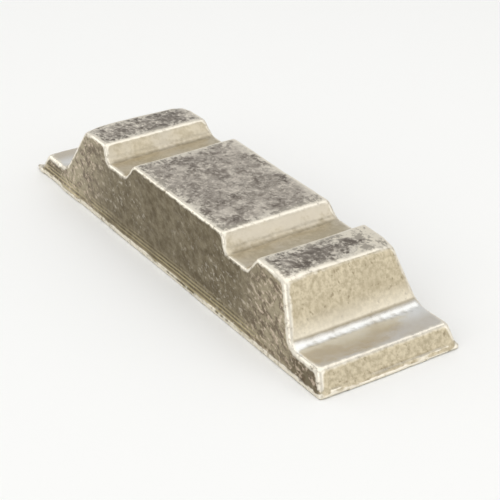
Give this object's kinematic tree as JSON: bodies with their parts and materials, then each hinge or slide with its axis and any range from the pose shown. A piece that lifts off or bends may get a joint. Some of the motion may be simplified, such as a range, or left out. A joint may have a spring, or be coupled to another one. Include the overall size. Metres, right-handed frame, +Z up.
{
  "type": "tin ingot",
  "caption": "Cast tin ingot: a drafted bar lying on its wide face, with a lug at each end, strap grooves across its narrow face and a trough in its wide face.",
  "frame": {"origin": "middle of the wide face that the ingot rests on", "axes": "+X along the ingot, +Y across it, +Z up from the wide face to the narrow face"},
  "size_m": [0.47, 0.135, 0.067],
  "materials": {
    "cast_tin": "as-cast tin, satin, warm grey, mottled, with bright worn edges"
  },
  "bodies": {
    "root": {"ingot": "cast_tin"}
  },
  "joints": []
}
